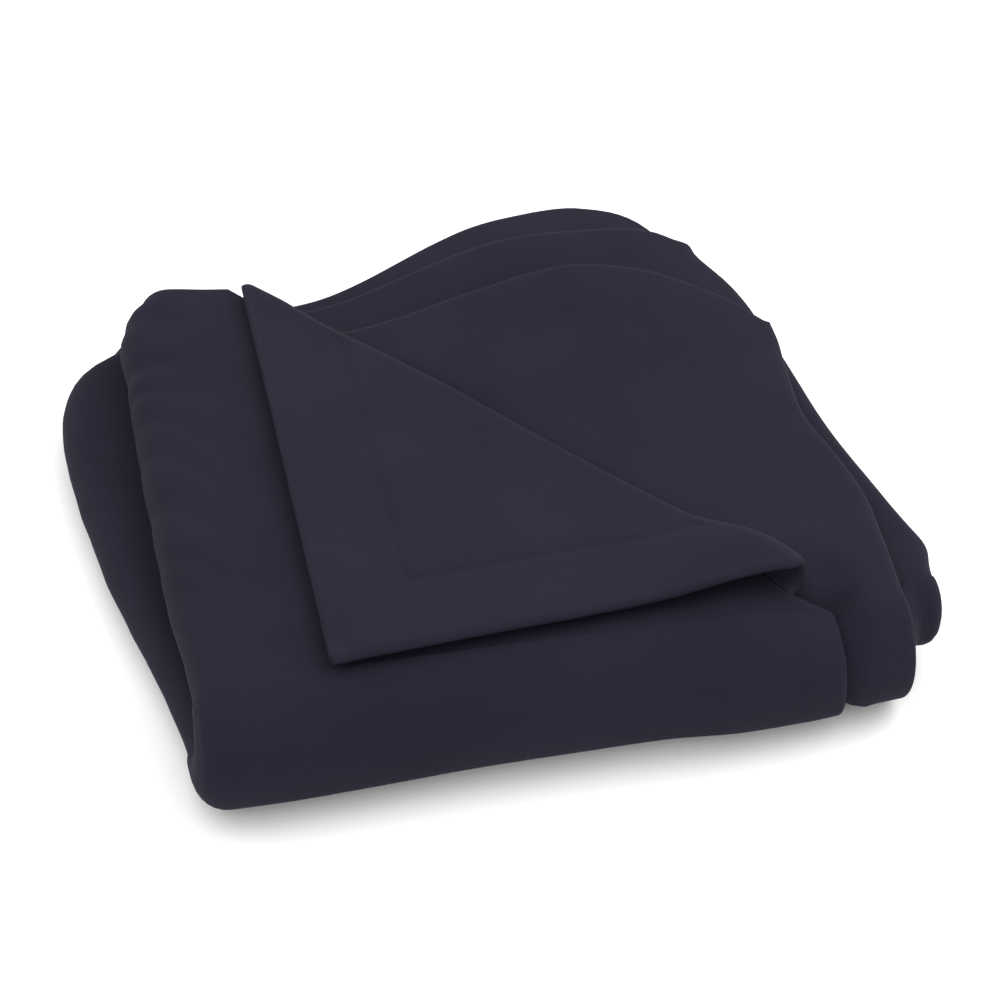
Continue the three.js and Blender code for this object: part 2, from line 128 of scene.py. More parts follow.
# ---- Outer cloth of both halves ----
# Plain woven polyester in very dark navy, one piece of cloth that runs round every fold of the pile.
# Its edges are turned in and sewn to the reverse cloth. All the layers follow the same folded path,
# so that path comes first, in millimetres from the near fold's axis and the floor.
PLY, PITCH = 10.8, 11.4  # thickness of the sandwich, and from one ply to the next
HEM = 6  # width of the turned hem
near_low, near_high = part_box("front_fold_cover_1")
MID_Z = 500 * (near_low.z + near_high.z)  # height of the near fold's axis
ORIGIN = np.array([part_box("upper_second_end_hem")[1].x - 0.236, near_high.y, 0])
HEIGHTS = {ply: (4.5 - ply) * PITCH for ply in (1, 2, 3, 4)}  # from the axis, inside each half

FOLD_NEAR, FOLD_FAR = np.array([165, 20]), np.array([-162, 428])  # ends of the diagonal fold
ALONG_FOLD = (FOLD_FAR - FOLD_NEAR) / np.linalg.norm(FOLD_FAR - FOLD_NEAR)
AWAY_FROM_TIP = np.array([ALONG_FOLD[1], -ALONG_FOLD[0]])


def ease(value, start, end):
    """0 before start, 1 after end, smooth between."""
    t = np.clip((value - start) / (end - start), 0, 1)
    return t * t * (3 - 2 * t)


def through(x, *knots):
    """A smooth curve through points (x, y), level beyond its ends."""
    xs, ys = np.array(knots, float).T
    slopes = np.gradient(ys, xs)
    slopes[[0, -1]] = 0
    x = np.clip(x, xs[0], xs[-1])
    i = np.clip(np.searchsorted(xs, x, side="right") - 1, 0, len(xs) - 2)
    width = xs[i + 1] - xs[i]
    t = (x - xs[i]) / width
    return (
        ys[i] * (1 + 2 * t) * (1 - t) ** 2 + ys[i + 1] * t * t * (3 - 2 * t)
        + width * (slopes[i] * t * (1 - t) ** 2 - slopes[i + 1] * t * t * (1 - t))
    )


# Columns run along the folded length: ply 1 from its end hem, the left turn, ply 4, the right turn,
# ply 3, the inner left turn, ply 2 to its end hem.
RIM = np.array([0, 0.25, 0.8, 1.7, 3, 4.5, HEM])  # close steps that round an edge
OUTER_TURN, INNER_TURN = 1.5 * PITCH, 0.5 * PITCH  # radius of each lengthwise fold
PLY_ONE, PLY_TWO = 428, 460  # lengths of the plies that end in a hem
PAST_RIM = 14  # where the even steps begin
FAR = 99  # stands for any distance too far from a hem to matter
LEFT_ANGLES, NARROW_ANGLES = np.linspace(0, np.pi, 15)[1:-1], np.linspace(0, np.pi, 9)[1:-1]
# Each column: its ply or turn, its share of the way along it, its height, its bulge past the fold's
# centre, and its distance from the end hem.
column_list = [("one", d / PLY_ONE, HEIGHTS[1], 0, d) for d in [*RIM, *np.linspace(PAST_RIM, PLY_ONE, 60)]]
for a in LEFT_ANGLES:
    column_list.append(("left", 0, 2 * PITCH + OUTER_TURN * np.cos(a), -OUTER_TURN * np.sin(a), FAR))
column_list += [("four", t, HEIGHTS[4], 0, FAR) for t in np.linspace(0, 1, 64)]
for a in NARROW_ANGLES:
    column_list.append(("right", 0, PITCH - INNER_TURN * np.cos(a), INNER_TURN * np.sin(a), FAR))
column_list += [("three", t, HEIGHTS[3], 0, FAR) for t in np.linspace(1, 0, 64)]
for a in NARROW_ANGLES:
    column_list.append(("inner", 0, 2 * PITCH - INNER_TURN * np.cos(a), -INNER_TURN * np.sin(a), FAR))
for d in [*np.linspace(PLY_TWO, PAST_RIM, 64), *RIM[::-1]]:
    column_list.append(("two", 1 - d / PLY_TWO, HEIGHTS[2], 0, d))
RUN = np.array([column[0] for column in column_list])
SHARE, HEIGHT, BULGE, FROM_END = (
    np.array([column[i] for column in column_list], float) for i in (1, 2, 3, 4)
)

# How far the side hem lies from the axis, ply by ply: the pile was folded by hand, so no two agree.
SIDE_HEM = np.select(
    [RUN == "one", RUN == "left", RUN == "four", RUN == "right", RUN == "three", RUN == "inner"],
    [
        442, 442, through(SHARE, (0, 442), (0.25, 456), (0.67, 502), (0.84, 503), (0.95, 472), (1, 436)),
        436, through(SHARE, (0, 400), (0.25, 424), (0.69, 452), (0.86, 450), (0.95, 445), (1, 436)), 400,
    ],
    through(SHARE, (0, 400), (0.28, 374), (0.56, 383), (0.72, 391), (0.86, 368), (0.95, 342), (1, 320)),
)

# Rows run across: from the lower half's side hem to the axis, half a turn, and to the upper half's.
# Both the flat plies and the half turn take close steps where they meet.
STEPS = np.concatenate([[0, 0.002, 0.005, 0.010, 0.017, 0.026], np.linspace(0.038, 1, 64)])
HALF_TURN = np.pi * (1 - np.cos(np.linspace(0, np.pi, 37))) / 2
row_list = [("lower", 1, d) for d in RIM[:-1]] + [("lower", s, HEM) for s in STEPS[::-1]]
row_list += [("near", a, FAR) for a in HALF_TURN[::-1][1:-1]]
row_list += [("upper", s, HEM) for s in STEPS] + [("upper", 1, d) for d in RIM[-2::-1]]
PART = np.array([row[0] for row in row_list])[:, None]
ACROSS, FROM_SIDE = (np.array([row[i] for row in row_list], float)[:, None] for i in (1, 2))
UPPER, LOWER = PART == "upper", PART == "lower"
TURN = np.where(UPPER, 0, np.where(LOWER, np.pi, ACROSS))  # 0 above the axis, half a turn below it
FROM_AXIS = np.where(PART == "near", 0, ACROSS * (SIDE_HEM - FROM_SIDE))


def past_diagonal(x, y):
    """How far a point lies beyond the diagonal fold, away from the corner's tip."""
    return (x - FOLD_NEAR[0]) * AWAY_FROM_TIP[0] + (y - FOLD_NEAR[1]) * AWAY_FROM_TIP[1]


def hill(x, y):
    """The back hems spring up into a hill right of the middle: 0 on flat cloth, 1 on its top."""
    return ease(y, 180, 470) * ease(x, -110, 70) * (1 - ease(x, 140, 275))


HILL_RISE, BACK_LEFT_RISE = 30, 7


def axis_height(x, y):
    """Height of the surface between the two halves."""
    back_left = ease(y, 250, 430) * (1 - ease(x, -225, -165))
    return MID_Z + HILL_RISE * hill(x, y) + BACK_LEFT_RISE * back_left


def swell(x, y):
    """Where ply 1 doesn't press on the plies below, they swell by this share."""
    bare = np.maximum(x - 191, past_diagonal(x, y) - 34 * (1 - ease(y, -6, 26)))
    return ease(bare, -3, 20) * (0.36 - 0.12 * ease(y, 20, 100)) + 0.10 * hill(x, y)


def press(x, y):
    """The loop's near end sinks into the plies below it by this share."""
    return 0.18 * ease(x, 120, 172) * (1 - ease(x, 188, 214)) * ease(y, -30, 0) * (1 - ease(y, 26, 80))


# Outlines of both halves seen from above, each as x at a distance from the axis. Ply 1 of the upper
# half ends at the diagonal fold, and all the ends meet the lower half's at the axis.
upper_left = through(
    FROM_AXIS, (0, -243), (108, -252), (217, -257), (337, -260), (400, -260), (422, -254), (437, -243),
)
lower_left = through(
    FROM_AXIS, (0, -250), (60, -260), (169, -287), (274, -306), (345, -313), (380, -311), (412, -298),
    (437, -270),
)
upper_right = through(
    FROM_AXIS, (0, 274), (60, 280), (118, 270), (200, 254), (310, 241), (385, 226), (430, 204),
)
lower_right = through(FROM_AXIS, (0, 272), (60, 277), (120, 268), (240, 250), (400, 236), (430, 225))
LOWER_FIRST_END, LOWER_SECOND_END = 190, 238
upper_second_end = through(
    FROM_AXIS, (0, LOWER_SECOND_END), (60, 243), (109, 246), (160, 239), (200, 230), (267, 232), (302, 235),
)
on_diagonal = FOLD_NEAR[0] + (FROM_AXIS - FOLD_NEAR[1]) * ALONG_FOLD[0] / ALONG_FOLD[1]
to_lower_end = LOWER_FIRST_END - on_diagonal[UPPER[:, 0]][0, 0]
upper_first_end = on_diagonal + to_lower_end * (1 - ease(FROM_AXIS, 0, 16))

share_up = (1 + np.cos(TURN)) / 2
LEFT = lower_left + (upper_left - lower_left) * share_up + OUTER_TURN + PLY / 2
RIGHT = lower_right + (upper_right - lower_right) * share_up - INNER_TURN - PLY / 2
FIRST_END = np.where(UPPER, upper_first_end, LOWER_FIRST_END)
SECOND_END = np.where(UPPER, upper_second_end, LOWER_SECOND_END)

plan_x = np.select(
    [RUN == "one", RUN == "left", (RUN == "four") | (RUN == "three"), RUN == "right", RUN == "inner"],
    [
        FIRST_END + (LEFT - FIRST_END) * SHARE, LEFT + BULGE, LEFT + (RIGHT - LEFT) * SHARE,
        RIGHT + BULGE, LEFT + BULGE,
    ],
    LEFT + (SECOND_END - LEFT) * SHARE,
)
floor_share = (axis_height(plan_x, FROM_AXIS) - PLY / 2) / HEIGHTS[1]
below_ply_one = ease(HEIGHTS[1] - HEIGHT, 0, PITCH)
front_swell = 1 + swell(plan_x, FROM_AXIS) * (1 - ease(FROM_AXIS, 0, 70)) * below_ply_one
radius_up = HEIGHT * (1 + swell(plan_x, FROM_AXIS) - press(plan_x, FROM_AXIS))
radius_down = HEIGHT * floor_share * front_swell
radius = radius_down + (radius_up - radius_down) * share_up
# The innermost plies stop short of the front where ply 2 no longer covers them.
set_back = 32 * ease(plan_x, 228, 254) * (1 - ease(HEIGHT, 17.5, 26)) * (1 - ease(FROM_AXIS, 0, 95))
MIDDLE = np.stack([
    plan_x,
    FROM_AXIS - radius * np.sin(TURN) + set_back,
    axis_height(plan_x, FROM_AXIS) + radius * np.cos(TURN),
], -1)


def outward(surface):
    """Unit normals of a grid of points, on the outer cloth's side."""
    normals = np.cross(np.gradient(surface, axis=1), np.gradient(surface, axis=0))
    normals /= np.linalg.norm(normals, axis=-1, keepdims=True)
    return normals


FACING = outward(MIDDLE)
top_row, top_column = int(np.argmax(UPPER[:, 0])) + 20, 30  # a point on ply 1, where the outer cloth faces up
FACING *= np.sign(FACING[top_row, top_column, 2])
RIM_DEPTH = 3.6  # how far in from a hem's edge its rim is round
THINNEST = 0.74  # thickness next to a hem's rim, as a share of the thickness inside


def rounded(from_edge):
    """Share of the full thickness, which thins towards a hem and closes round its rim."""
    rim = np.sqrt(1 - (1 - np.clip(from_edge / RIM_DEPTH, 0, 1)) ** 2)
    return np.maximum(rim, 0.05) * (THINNEST + (1 - THINNEST) * ease(from_edge, 0, 26))


end_is_hem = np.where(UPPER & (RUN == "one"), FAR * ease(FROM_AXIS, 0, 14), 0)
FULLNESS = rounded(np.minimum(FROM_SIDE, FROM_END + end_is_hem)) * (1 + 0.3 * hill(plan_x, FROM_AXIS))
LENGTH_MM = np.concatenate([[0], np.cumsum(np.linalg.norm(np.diff(MIDDLE[top_row], axis=0), axis=1))])
round_turn = MID_Z * (np.pi / 2 - TURN) - MID_Z * np.pi / 2 * UPPER
width_mm = FROM_AXIS * np.where(LOWER, -1, 1) + round_turn
CLOTH_UV = np.stack(np.broadcast_arrays(LENGTH_MM / 1000, width_mm / 1000), -1)


def settled(points):
    """Wrinkles that the whole stack shares: points of the pile move together, so layers stay nested."""
    x, y, z = (points[..., i] for i in range(3))
    flow, fine = (
        np.array([
            noise.noise(Vector((px / wide, py / long, level))) for px, py in zip(np.ravel(x), np.ravel(y))
        ]).reshape(x.shape)
        for wide, long, level in ((70, 95, 2.3), (26, 34, 7.1))
    )
    high = ease(z, 46, 88)
    phase = y / 43 + 0.011 * (x + 250) + 0.9 * flow + 0.25 * fine
    pucker = (0.5 + 0.5 * np.sin(2 * np.pi * phase)) ** 1.8 * (0.75 + 0.5 * flow)
    on_roll = (1 - ease(x, -232, -186)) * ease(y, 60, 130) * (1 - ease(y, 400, 436)) * high
    creased = (1 - ease(np.abs(y - 330 + 0.5 * (x - 90)), 8, 40)) * ease(x, 20, 70) * (1 - ease(x, 150, 200))
    up = 1.1 * flow * high - 3.0 * pucker * on_roll + 0.5 * fine * high + 1.2 * fine * creased * high
    out = 1.6 * pucker * on_roll + 0.9 * fine * (1 - ease(x, -240, -200))
    # The near edge isn't straight: it comes forward at the left and the right, and goes back at its end.
    askew = -8 * (1 - ease(x, -200, -20)) - 4 * ease(x, 60, 120) * (1 - ease(x, 186, 202))
    askew += 5 * ease(x, 200, 216)
    front = -1.2 * flow * (1 - ease(y, -40, 10)) + askew * (1 - ease(y, -38, 0))
    valley = np.exp(-((x - 192) / 15) ** 2) * (1 - ease(y, 4, 60)) * ease(z, MID_Z - 30, MID_Z + 6)
    front += 0.11 * valley * np.maximum(-y, 0)
    up -= 0.13 * valley * np.maximum(z - MID_Z, 0)
    return points + np.stack([out, front, up], -1)


def in_frame(points):
    """Millimetres from the near fold's axis and the floor, as metres in the part's frame."""
    return points / 1000 + ORIGIN


def closed_sheet(name, side_a, side_b, uv, material):
    """A closed thin solid between two grids of points, with the cloth's own length and width as UVs."""
    rows, columns = side_a.shape[:2]
    points = in_frame(np.concatenate([settled(side_a).reshape(-1, 3), settled(side_b).reshape(-1, 3)]))
    index = np.arange(rows * columns).reshape(rows, columns)
    a, b, c, d = index[:-1, :-1], index[1:, :-1], index[1:, 1:], index[:-1, 1:]
    front = np.stack([a, b, c, d], -1).reshape(-1, 4)
    loop = np.concatenate([index[0, :-1], index[:-1, -1], index[-1, :0:-1], index[:0:-1, 0]])
    onward = np.roll(loop, -1)
    other = rows * columns
    sides = np.stack([loop, onward, onward + other, loop + other], -1)
    faces = np.concatenate([front, front[:, ::-1] + other, sides])
    mesh = bpy.data.meshes.new(name)
    mesh.from_pydata(points.tolist(), [], faces.tolist())
    corners = np.tile(uv.reshape(-1, 2), (2, 1))[faces.reshape(-1)]
    mesh.uv_layers.new(name="cloth").data.foreach_set("uv", corners.ravel().astype(np.float32))
    mesh.materials.append(material)
    working = bmesh.new()
    working.from_mesh(mesh)
    bmesh.ops.recalc_face_normals(working, faces=working.faces)
    working.to_mesh(mesh)
    working.free()
    # The cut edge stays crisp, so a layer shades smoothly right up to the piece that it meets there.
    edge_faces = np.arange(len(faces)) >= 2 * len(front)
    mesh.polygons.foreach_set("use_smooth", ~edge_faces)
    around = set(map(frozenset, np.concatenate([sides[:, :2], sides[:, 2:]]).tolist()))
    for edge in mesh.edges:
        edge.use_edge_sharp = frozenset(edge.vertices) in around
    piece = bpy.data.objects.new(name, mesh)
    bpy.context.scene.collection.objects.link(piece)
    return piece


def woven_cloth(name, dark, light, thread_mm, roughness, sheen):
    """Matt woven polyester: crossed threads, a soft nap that takes no shine, and uneven dye."""
    material, tree, shader = new_material(name)
    along_cloth = add_node(tree, "ShaderNodeTexCoord").outputs["UV"]
    in_space = add_node(tree, "ShaderNodeTexCoord").outputs["Object"]
    threads = []
    for direction in ("X", "Y"):
        # A band is as wide as a thread when its scale is 1 / (20 * width), in metres.
        threads.append(add_node(tree, "ShaderNodeTexWave", {
            "Vector": along_cloth, "Scale": 1000 / (20 * thread_mm) * 2, "Distortion": 0.6,
            "Detail": 1.0, "Detail Scale": 2.0,
        }, bands_direction=direction).outputs["Fac"])
    weave = add_node(tree, "ShaderNodeMath", {0: threads[0], 1: threads[1]}, operation="MULTIPLY")
    nap = add_node(tree, "ShaderNodeTexNoise", {"Vector": in_space, "Scale": 900.0, "Detail": 3.0})
    dye = add_node(tree, "ShaderNodeTexNoise", {"Vector": in_space, "Scale": 14.0, "Detail": 4.0})
    fleck = add_node(tree, "ShaderNodeMath", {0: nap.outputs["Fac"], 1: weave.outputs[0]}, operation="ADD")
    blend = add_node(tree, "ShaderNodeMath", {
        0: fleck.outputs[0], 1: 0.14, 2: 0.06,
    }, operation="MULTIPLY_ADD")
    tone = add_node(tree, "ShaderNodeMath", {
        0: dye.outputs["Fac"], 1: 0.55, 2: blend.outputs[0],
    }, operation="MULTIPLY_ADD", use_clamp=True)
    colour = add_node(tree, "ShaderNodeValToRGB", {"Fac": tone.outputs[0]})
    colour.color_ramp.elements[0].color = linear(dark)
    colour.color_ramp.elements[1].color = linear(light)
    rough = add_node(tree, "ShaderNodeMapRange", {
        "Value": nap.outputs["Fac"], "To Min": roughness - 0.05, "To Max": roughness + 0.05,
    })
    bump = add_node(tree, "ShaderNodeBump", {
        "Height": fleck.outputs[0], "Strength": 0.15, "Distance": 0.0002,
    })
    tree.links.new(colour.outputs["Color"], shader.inputs["Base Color"])
    tree.links.new(rough.outputs["Result"], shader.inputs["Roughness"])
    tree.links.new(bump.outputs["Normal"], shader.inputs["Normal"])
    shader.inputs["IOR"].default_value = 1.5
    shader.inputs["Specular IOR Level"].default_value = 0.1
    shader.inputs["Sheen Weight"].default_value = sheen
    shader.inputs["Sheen Roughness"].default_value = 0.5
    shader.inputs["Sheen Tint"].default_value = linear("#9a9cb4")
    return material


# Real threads are about 0.3 mm apart. They are drawn 1.4 mm apart so that the weave shows.
outer_cloth = woven_cloth("woven_polyester_outer", "#14131d", "#21202e", 1.4, 0.9, 0.02)

rows_of = {
    half: np.flatnonzero((PART[:, 0] == half) & (FROM_SIDE[:, 0] >= HEM)) for half in ("lower", "upper")
}
inside_ends = np.flatnonzero(FROM_END >= HEM)
OFFSETS = {  # both faces of each layer, from the middle of the sandwich towards the outer cloth
    "cover": (4.2, 5.4), "wadding": (-0.2, 3.7), "foil": (-1.1, -0.6), "wire": (-2.5, -1.5),
    "heating_mat": (-3.7, -2.8), "lining": (-5.4, -4.2), "padding": (-3.7, 3.7), "whole": (-5.4, 5.4),
}


def layer(name, rows, columns, offsets, material):
    """One layer of the sandwich over a range of rows and columns of the folded path."""
    grid = np.ix_(rows, columns)
    sides = [MIDDLE[grid] + FACING[grid] * (offset * FULLNESS[grid])[..., None] for offset in offsets]
    return closed_sheet(name, sides[0], sides[1], CLOTH_UV[grid], material)


covers = {}
for half in ("lower", "upper"):
    covers[half] = layer(f"{half}_outer_cloth", rows_of[half], inside_ends, OFFSETS["cover"], outer_cloth)
    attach(covers[half], f"{half}_half")
    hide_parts(f"{half}_cover")

# ---- Reverse cloth of both halves ----
# The same polyester, woven a little closer and dyed a shade lighter. It is sewn to the outer cloth
# along every edge, so each half of it is one sheet that follows the outer cloth round the folds.
reverse_cloth = woven_cloth("woven_polyester_reverse", "#15141e", "#22212f", 1.2, 0.9, 0.02)
for half in ("lower", "upper"):
    lining = layer(f"{half}_reverse_cloth", rows_of[half], inside_ends, OFFSETS["lining"], reverse_cloth)
    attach(lining, f"{half}_half")
    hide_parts(f"{half}_lining")

# ---- Turned hems of both halves ----
# Both cloths are turned in on themselves and sewn down, which makes a firm round edge about 8 mm
# thick. The hem cloth is coloured a shade lighter than the outer cloth, a painted highlight for the light
# that the tight edge catches.
# Painted highlight: the hem cloth's colours are a shade lighter than the outer cloth's.
hem_cloth_painted_highlight = woven_cloth("woven_polyester_hem_painted_highlight", "#16151f", "#232230", 1.2, 0.88, 0.03)
end_columns = {
    end: np.flatnonzero((FROM_END <= HEM) & (RUN == run))
    for end, run in (("second", "two"), ("first", "one"))
}
hems = {"lower": [], "upper": []}
for half in ("lower", "upper"):
    all_rows = np.flatnonzero(PART[:, 0] == half)
    side_rows = all_rows[(FROM_SIDE[all_rows, 0] <= HEM) & (ACROSS[all_rows, 0] == 1)]
    hem = layer(f"{half}_side_edge", side_rows, inside_ends, OFFSETS["whole"], hem_cloth_painted_highlight)
    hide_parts(f"{half}_side_hem")
    hems[half].append(hem)
    for end, columns in end_columns.items():
        hem = layer(f"{half}_{end}_end_edge", all_rows, columns, OFFSETS["whole"], hem_cloth_painted_highlight)
        if (half, end) != ("upper", "first"):
            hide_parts(f"{half}_{end}_end_hem")
        hems[half].append(hem)
    for hem in hems[half]:
        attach(hem, f"{half}_half")

# ---- Wadding ----
# Needled wadding of recycled polyester, a soft felt that keeps the heat in. Its dark grey is painted
# shade: it is coloured dark so that wherever it shows between the layers it reads as shadow. It is held
# only at the hems, so it is thickest in the middle of a ply.
shade_dark_wadding_felt, tree, shader = new_material("needled_polyester_wadding_painted_shade")
in_space = add_node(tree, "ShaderNodeTexCoord").outputs["Object"]
fibres = add_node(tree, "ShaderNodeTexNoise", {
    "Vector": in_space, "Scale": 420.0, "Detail": 6.0, "Distortion": 1.5,
})
shade = add_node(tree, "ShaderNodeValToRGB", {"Fac": fibres.outputs["Fac"]})
# Painted shade: dark grey, so that felt peeking out between the layers reads as shadow.
shade.color_ramp.elements[0].color = linear("#2e2e34")
shade.color_ramp.elements[1].color = linear("#45454c")
loft = add_node(tree, "ShaderNodeBump", {
    "Height": fibres.outputs["Fac"], "Strength": 0.6, "Distance": 0.0008,
})
tree.links.new(shade.outputs["Color"], shader.inputs["Base Color"])
tree.links.new(loft.outputs["Normal"], shader.inputs["Normal"])
shader.inputs["Roughness"].default_value = 0.95
SET_BACK = 3  # rows next to the near fold that the layers inside leave free, so that it can open
inner_rows_of = {"upper": rows_of["upper"][SET_BACK:], "lower": rows_of["lower"][:-SET_BACK]}
for half in ("lower", "upper"):
    filling = layer(f"{half}_filling", inner_rows_of[half], inside_ends, OFFSETS["wadding"], shade_dark_wadding_felt)
    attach(filling, f"{half}_half")
    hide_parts(f"{half}_wadding")

# ---- Reflective foil ----
# Aluminised film behind the heating layer, creased by folding. It throws the warmth back inwards.
foil_film, tree, shader = new_material("aluminised_film")
in_space = add_node(tree, "ShaderNodeTexCoord").outputs["Object"]
creases = add_node(tree, "ShaderNodeTexVoronoi", {
    "Vector": in_space, "Scale": 60.0,
}, feature="DISTANCE_TO_EDGE")
crumple = add_node(tree, "ShaderNodeBump", {
    "Height": creases.outputs["Distance"], "Strength": 0.5, "Distance": 0.0006,
})
tree.links.new(crumple.outputs["Normal"], shader.inputs["Normal"])
shader.inputs["Base Color"].default_value = linear("#d6d9dd")
shader.inputs["Metallic"].default_value = 1.0
shader.inputs["Roughness"].default_value = 0.28
for half in ("lower", "upper"):
    film = layer(f"{half}_film", inner_rows_of[half], inside_ends, OFFSETS["foil"], foil_film)
    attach(film, f"{half}_half")
    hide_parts(f"{half}_foil")

# ---- Heating mat ----
# A plain cotton scrim that the heating wire is stitched to, undyed and coarse.
scrim, tree, shader = new_material("undyed_cotton_scrim")
along_cloth = add_node(tree, "ShaderNodeTexCoord").outputs["UV"]
SCRIM_THREAD_MM = 1.5
crossed = [
    add_node(tree, "ShaderNodeTexWave", {
        "Vector": along_cloth, "Scale": 1000 / (20 * SCRIM_THREAD_MM) * 2, "Distortion": 0.8,
    }, bands_direction=direction).outputs["Fac"]
    for direction in ("X", "Y")
]
mesh_weave = add_node(tree, "ShaderNodeMath", {0: crossed[0], 1: crossed[1]}, operation="MAXIMUM")
shade = add_node(tree, "ShaderNodeValToRGB", {"Fac": mesh_weave.outputs[0]})
shade.color_ramp.elements[0].color = linear("#5f5a50")
shade.color_ramp.elements[1].color = linear("#8d8675")
relief = add_node(tree, "ShaderNodeBump", {
    "Height": mesh_weave.outputs[0], "Strength": 0.5, "Distance": 0.0004,
})
tree.links.new(shade.outputs["Color"], shader.inputs["Base Color"])
tree.links.new(relief.outputs["Normal"], shader.inputs["Normal"])
shader.inputs["Roughness"].default_value = 0.9
for half in ("lower", "upper"):
    mat = layer(f"{half}_mat", inner_rows_of[half], inside_ends, OFFSETS["heating_mat"], scrim)
    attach(mat, f"{half}_half")
    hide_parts(f"{half}_heating_mat")

# ---- Supply ribbon ----
# A flat ribbon of stranded copper in black silicone, stitched along the mat 38 mm inside the side
# hem. It feeds each ply's zone, so it goes round every lengthwise fold.
FIRST_ROW = {half: rows_of[half][0 if half == "upper" else -1] for half in ("upper", "lower")}
UPWARD = {"upper": 1, "lower": -1}  # towards the side hem, the rows count up above and down below
RIBBON_MIDDLE, RIBBON_WIDTH = 38, 9


def on_cloth(row, column):
    """Middle, facing and fullness of the cloth at fractional rows and columns of its grid."""
    row, column = np.broadcast_arrays(np.asarray(row, float), np.asarray(column, float))
    r = np.clip(row.astype(int), 0, MIDDLE.shape[0] - 2)
    c = np.clip(column.astype(int), 0, MIDDLE.shape[1] - 2)
    fr, fc = row - r, column - c

    def mixed(grid):
        more = (1,) * (grid.ndim - 2)
        a, b = fr.reshape(fr.shape + more), fc.reshape(fc.shape + more)
        near_side = grid[r, c] * (1 - b) + grid[r, c + 1] * b
        far_side = grid[r + 1, c] * (1 - b) + grid[r + 1, c + 1] * b
        return near_side * (1 - a) + far_side * a

    return mixed(MIDDLE), mixed(FACING), mixed(FULLNESS)


def row_at(half, from_axis, column):
    """The fractional row of a half that lies so far from the axis."""
    hem = np.interp(column, np.arange(len(SIDE_HEM)), SIDE_HEM)
    steps = np.interp(from_axis / (hem - HEM), STEPS, np.arange(len(STEPS)))
    return FIRST_ROW[half] + UPWARD[half] * steps


coated_wire, tree, shader = new_material("black_silicone_sleeve")
in_space = add_node(tree, "ShaderNodeTexCoord").outputs["Object"]
rubbed = add_node(tree, "ShaderNodeTexNoise", {"Vector": in_space, "Scale": 300.0, "Detail": 3.0})
shade = add_node(tree, "ShaderNodeValToRGB", {"Fac": rubbed.outputs["Fac"]})
shade.color_ramp.elements[0].color = linear("#121214")
shade.color_ramp.elements[1].color = linear("#242428")
tree.links.new(shade.outputs["Color"], shader.inputs["Base Color"])
shader.inputs["Roughness"].default_value = 0.55
shader.inputs["IOR"].default_value = 1.43
distances = np.linspace(RIBBON_MIDDLE + RIBBON_WIDTH / 2, RIBBON_MIDDLE - RIBBON_WIDTH / 2, 4)[:, None]
ribbon_uv = np.stack(np.broadcast_arrays(LENGTH_MM[inside_ends] / 1000, distances / 1000), -1)
for half in ("lower", "upper"):
    rows = row_at(half, SIDE_HEM[inside_ends] - distances, inside_ends)
    middle, facing, fullness = on_cloth(rows, inside_ends)
    sides = [middle + facing * (offset * fullness)[..., None] for offset in OFFSETS["wire"]]
    ribbon = closed_sheet(f"{half}_supply_wires", sides[0], sides[1], ribbon_uv, coated_wire)
    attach(ribbon, f"{half}_half")
    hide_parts(f"{half}_supply_ribbon")

# ---- Heating wires, thermistors and thermal cut-outs ----
# Flattened carbon fibre wire in zigzag runs 42 mm apart on every ply, a film thermistor and a metal
# can cut-out on ply 2 of each half. They are stitched to the mat, so they go where the cloth goes.
LONGEST_EDGE = 0.014  # in metres, short enough to follow the cloth


def fine_copy(node, name, material):
    """A copy of a piece with short edges, and its points in millimetres from the axis and the floor."""
    mesh = bpy.data.objects[node].data.copy()
    mesh.name = name
    working = bmesh.new()
    working.from_mesh(mesh)
    bmesh.ops.triangulate(working, faces=working.faces)
    while long_edges := [edge for edge in working.edges if edge.calc_length() > LONGEST_EDGE]:
        bmesh.ops.subdivide_edges(working, edges=long_edges, cuts=1)
        bmesh.ops.triangulate(working, faces=working.faces)
    working.to_mesh(mesh)
    working.free()
    mesh.materials.clear()
    mesh.materials.append(material)
    piece = bpy.data.objects.new(name, mesh)
    bpy.context.scene.collection.objects.link(piece)
    return piece, (np.array([v.co for v in mesh.vertices]) - ORIGIN) * 1000


def lay_down(piece, points):
    """Gives a piece its points on the folded path, settled with the rest of the stack."""
    piece.data.vertices.foreach_set("co", in_frame(settled(points)).ravel())
    piece.data.update()


def carried(node, name, half, ply, material):
    """A piece stitched to a flat ply, laid on the cloth as it is folded here."""
    piece, points = fine_copy(node, name, material)
    run = ("one", "two", "three", "four")[ply - 1]
    columns = np.flatnonzero(RUN == run)
    rows = rows_of[half][::UPWARD[half]]
    middle_column = columns[len(columns) // 2]
    left, right, first, second = (
        np.interp(points[:, 1], FROM_AXIS[rows, middle_column], edge[rows, middle_column])
        for edge in (LEFT, RIGHT, FIRST_END, SECOND_END)
    )
    start, end = {"one": (first, left), "two": (left, second)}.get(run, (left, right))
    order = np.argsort(SHARE[columns])
    column = np.interp((points[:, 0] - start) / (end - start), SHARE[columns][order], columns[order])
    facing_out = 1 if ply % 2 else -1
    offset = (points[:, 2] - (MID_Z + UPWARD[half] * HEIGHTS[ply])) * UPWARD[half] * facing_out
    middle, facing, fullness = on_cloth(row_at(half, points[:, 1], column), column)
    lay_down(piece, middle + facing * (offset * fullness)[:, None])
    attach(piece, f"{half}_half")
    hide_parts(node)
    return piece


